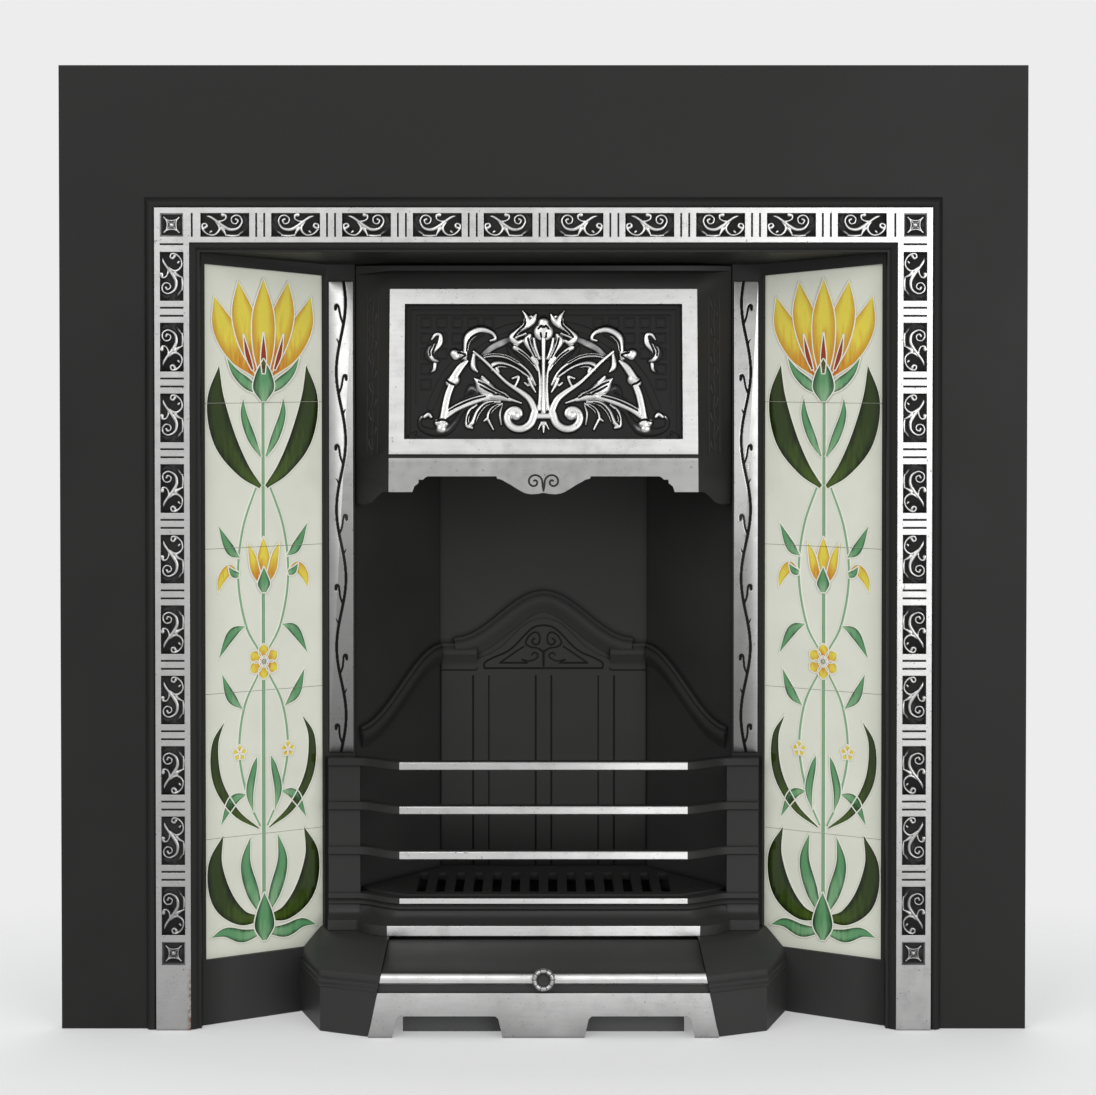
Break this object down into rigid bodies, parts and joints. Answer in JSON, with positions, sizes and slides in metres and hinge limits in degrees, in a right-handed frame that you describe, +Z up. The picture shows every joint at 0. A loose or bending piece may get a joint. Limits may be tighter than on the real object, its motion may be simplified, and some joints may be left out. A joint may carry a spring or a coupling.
{
  "type": "cast iron fireplace",
  "caption": "Cast iron fireplace insert with splayed glazed tile panels, polished border and hood, lift-out bars and grate, hinged damper, and an ashpan cover and pan that slide out.",
  "frame": {"origin": "on the hearth, under the middle of the whole piece's box", "axes": "+X to the right as seen from the room, +Y into the chimney breast, +Z up"},
  "size_m": [1.004, 0.293, 1.002],
  "materials": {
    "black_iron": "satin black fire paint over sand-cast iron, with the proud ornament ground bright",
    "soot_iron": "matt black firebox iron",
    "polished_iron": "hand polished bare iron",
    "tile_glaze": "cream gloss glaze with tube-lined flowers",
    "sheet_steel": "mill finish sheet",
    "fastener_steel": "plain steel"
  },
  "bodies": {
    "fireplace": {"front_casting": "black_iron", "hood": "black_iron", "fire_back": "soot_iron", "cheek_left": "soot_iron", "cheek_right": "soot_iron", "throat_plate": "soot_iron", "damper_pin": "fastener_steel", "tile_plate_left": "sheet_steel", "tile_plate_right": "sheet_steel", "tile_left_1": "tile_glaze", "tile_left_2": "tile_glaze", "tile_left_3": "tile_glaze", "tile_left_4": "tile_glaze", "tile_left_5": "tile_glaze", "tile_right_1": "tile_glaze", "tile_right_2": "tile_glaze", "tile_right_3": "tile_glaze", "tile_right_4": "tile_glaze", "tile_right_5": "tile_glaze", "tile_screw_left_1": "fastener_steel", "tile_screw_left_2": "fastener_steel", "tile_screw_left_3": "fastener_steel", "tile_screw_left_4": "fastener_steel", "tile_screw_right_1": "fastener_steel", "tile_screw_right_2": "fastener_steel", "tile_screw_right_3": "fastener_steel", "tile_screw_right_4": "fastener_steel", "hood_bolt_left_1": "fastener_steel", "hood_bolt_left_2": "fastener_steel", "hood_bolt_right_1": "fastener_steel", "hood_bolt_right_2": "fastener_steel", "cheek_bolt_left_1": "fastener_steel", "cheek_bolt_left_2": "fastener_steel", "cheek_bolt_right_1": "fastener_steel", "cheek_bolt_right_2": "fastener_steel", "back_bolt_left_1": "fastener_steel", "back_bolt_left_2": "fastener_steel", "back_bolt_right_1": "fastener_steel", "back_bolt_right_2": "fastener_steel"},
    "damper": {"damper_flap": "soot_iron"},
    "bars": {"front_bars": "black_iron"},
    "grate": {"bottom_grate": "soot_iron"},
    "pan": {"ash_pan": "sheet_steel", "ash_pan_handle": "sheet_steel"},
    "cover": {"ashpan_cover": "black_iron", "cover_knob": "polished_iron", "cover_knob_screw": "fastener_steel"}
  },
  "joints": [
    {"name": "damper_hinge", "type": "hinge", "parent": "fireplace", "child": "damper", "pos_m": [0, 0.11925, 0.7533], "axis": [-1, 0, 0], "range_deg": [0, 70]},
    {"name": "bars_lift", "type": "slide", "parent": "fireplace", "child": "bars", "axis": [0, 0, 1], "range_m": [0, 0.06]},
    {"name": "grate_lift", "type": "slide", "parent": "fireplace", "child": "grate", "axis": [0, 0, 1], "range_m": [0, 0.08]},
    {"name": "pan_slide", "type": "slide", "parent": "fireplace", "child": "pan", "axis": [0, -1, 0], "range_m": [0, 0.2]},
    {"name": "cover_slide", "type": "slide", "parent": "pan", "child": "cover", "axis": [0, -1, 0], "range_m": [0, 0.15]}
  ]
}
